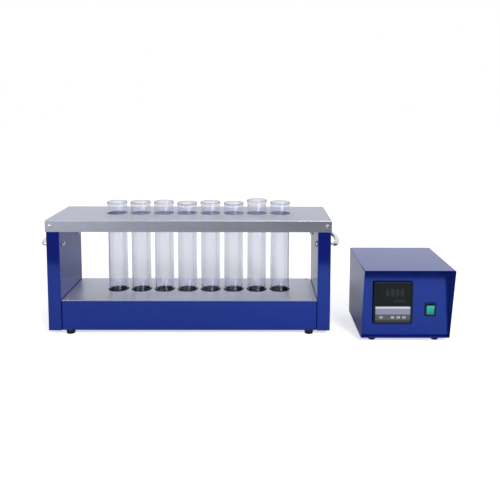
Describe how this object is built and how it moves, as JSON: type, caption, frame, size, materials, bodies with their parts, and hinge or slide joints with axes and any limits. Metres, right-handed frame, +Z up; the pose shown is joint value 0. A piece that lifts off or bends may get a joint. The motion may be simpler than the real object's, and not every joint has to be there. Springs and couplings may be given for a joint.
{
  "type": "block digester",
  "caption": "Bench block digester: a steel rack holds a row of glass tubes upright over a heated block, with a separate temperature control box beside it.",
  "frame": {"origin": "bottom centre of the bounding box of the whole set, on the bench top under the rubber feet", "axes": "+Z up; +X to the right from the heating unit to the control box; the fronts face -Y"},
  "size_m": [0.907, 0.2372, 0.2908],
  "materials": {
    "blue_paint": "satin powder coat",
    "stainless": "brushed stainless sheet",
    "chrome": "bright plated rod",
    "zinc_steel": "plated steel fasteners",
    "black_block": "hard anodised, matt",
    "sheath_steel": "drawn stainless sheath",
    "glass": "clear borosilicate",
    "rubber": "matt",
    "fibre_board": "fibrous, off-white",
    "ceramic": "glazed",
    "lead_sleeve": "silicone sleeve",
    "black_plastic": "fine matt",
    "display_window": "gloss",
    "display_segments": "unlit segments",
    "grey_fascia": "printed film",
    "grey_key": "soft matt",
    "circuit_board": "solder mask",
    "green_rocker": "translucent gloss",
    "relay_shell": "moulded",
    "heat_sink": "extruded"
  },
  "bodies": {
    "digester_set": {"base_tray": "blue_paint", "top_plate": "stainless", "top_plate_screws": "zinc_steel", "left_column": "blue_paint", "right_column": "blue_paint", "column_bolts": "zinc_steel", "tube_shelf": "stainless", "shelf_screws": "zinc_steel", "left_handle": "chrome", "right_handle": "chrome", "handle_bolts": "chrome", "heating_block": "black_block", "heater_rods": "sheath_steel", "block_insulation": "fibre_board", "block_posts": "zinc_steel", "temperature_probe": "sheath_steel", "terminal_block": "ceramic", "heater_leads": "lead_sleeve", "heater_inlet": "black_plastic", "heater_probe_socket": "zinc_steel", "heater_feet": "rubber", "heater_foot_screws": "zinc_steel", "control_cover": "blue_paint", "control_chassis": "blue_paint", "cover_screws": "zinc_steel", "meter_frame": "black_plastic", "meter_case": "black_plastic", "meter_window": "display_window", "meter_digits": "display_segments", "meter_fascia": "grey_fascia", "meter_board": "circuit_board", "meter_clamps": "zinc_steel", "switch_body": "black_plastic", "mains_inlet": "black_plastic", "heater_outlet": "black_plastic", "control_probe_socket": "zinc_steel", "socket_screws": "zinc_steel", "relay": "relay_shell", "relay_heat_sink": "heat_sink", "relay_screws": "zinc_steel", "control_leads": "lead_sleeve", "control_feet": "rubber", "control_foot_screws": "zinc_steel"},
    "tube_1": {"tube_1": "glass"},
    "tube_2": {"tube_2": "glass"},
    "tube_3": {"tube_3": "glass"},
    "tube_4": {"tube_4": "glass"},
    "tube_5": {"tube_5": "glass"},
    "tube_6": {"tube_6": "glass"},
    "tube_7": {"tube_7": "glass"},
    "tube_8": {"tube_8": "glass"},
    "set_key": {"set_key": "grey_key"},
    "shift_key": {"shift_key": "grey_key"},
    "down_key": {"down_key": "grey_key"},
    "up_key": {"up_key": "grey_key"},
    "switch_rocker": {"switch_rocker": "green_rocker"}
  },
  "joints": [
    {"name": "tube_1_lift", "type": "slide", "parent": "digester_set", "child": "tube_1", "axis": [0, 0, 1], "range_m": [0, 0.245]},
    {"name": "tube_2_lift", "type": "slide", "parent": "digester_set", "child": "tube_2", "axis": [0, 0, 1], "range_m": [0, 0.245]},
    {"name": "tube_3_lift", "type": "slide", "parent": "digester_set", "child": "tube_3", "axis": [0, 0, 1], "range_m": [0, 0.245]},
    {"name": "tube_4_lift", "type": "slide", "parent": "digester_set", "child": "tube_4", "axis": [0, 0, 1], "range_m": [0, 0.245]},
    {"name": "tube_5_lift", "type": "slide", "parent": "digester_set", "child": "tube_5", "axis": [0, 0, 1], "range_m": [0, 0.245]},
    {"name": "tube_6_lift", "type": "slide", "parent": "digester_set", "child": "tube_6", "axis": [0, 0, 1], "range_m": [0, 0.245]},
    {"name": "tube_7_lift", "type": "slide", "parent": "digester_set", "child": "tube_7", "axis": [0, 0, 1], "range_m": [0, 0.245]},
    {"name": "tube_8_lift", "type": "slide", "parent": "digester_set", "child": "tube_8", "axis": [0, 0, 1], "range_m": [0, 0.245]},
    {"name": "set_key_press", "type": "slide", "parent": "digester_set", "child": "set_key", "axis": [0, 1, 0], "range_m": [0, 0.0006], "stiffness_N_per_m": 1500, "springref_m": -0.0002},
    {"name": "shift_key_press", "type": "slide", "parent": "digester_set", "child": "shift_key", "axis": [0, 1, 0], "range_m": [0, 0.0006], "stiffness_N_per_m": 1500, "springref_m": -0.0002},
    {"name": "down_key_press", "type": "slide", "parent": "digester_set", "child": "down_key", "axis": [0, 1, 0], "range_m": [0, 0.0006], "stiffness_N_per_m": 1500, "springref_m": -0.0002},
    {"name": "up_key_press", "type": "slide", "parent": "digester_set", "child": "up_key", "axis": [0, 1, 0], "range_m": [0, 0.0006], "stiffness_N_per_m": 1500, "springref_m": -0.0002},
    {"name": "switch_rocker_tilt", "type": "hinge", "parent": "digester_set", "child": "switch_rocker", "pos_m": [0.41145, -0.08055, 0.0713], "axis": [-1, 0, 0], "range_deg": [0, 18]}
  ]
}
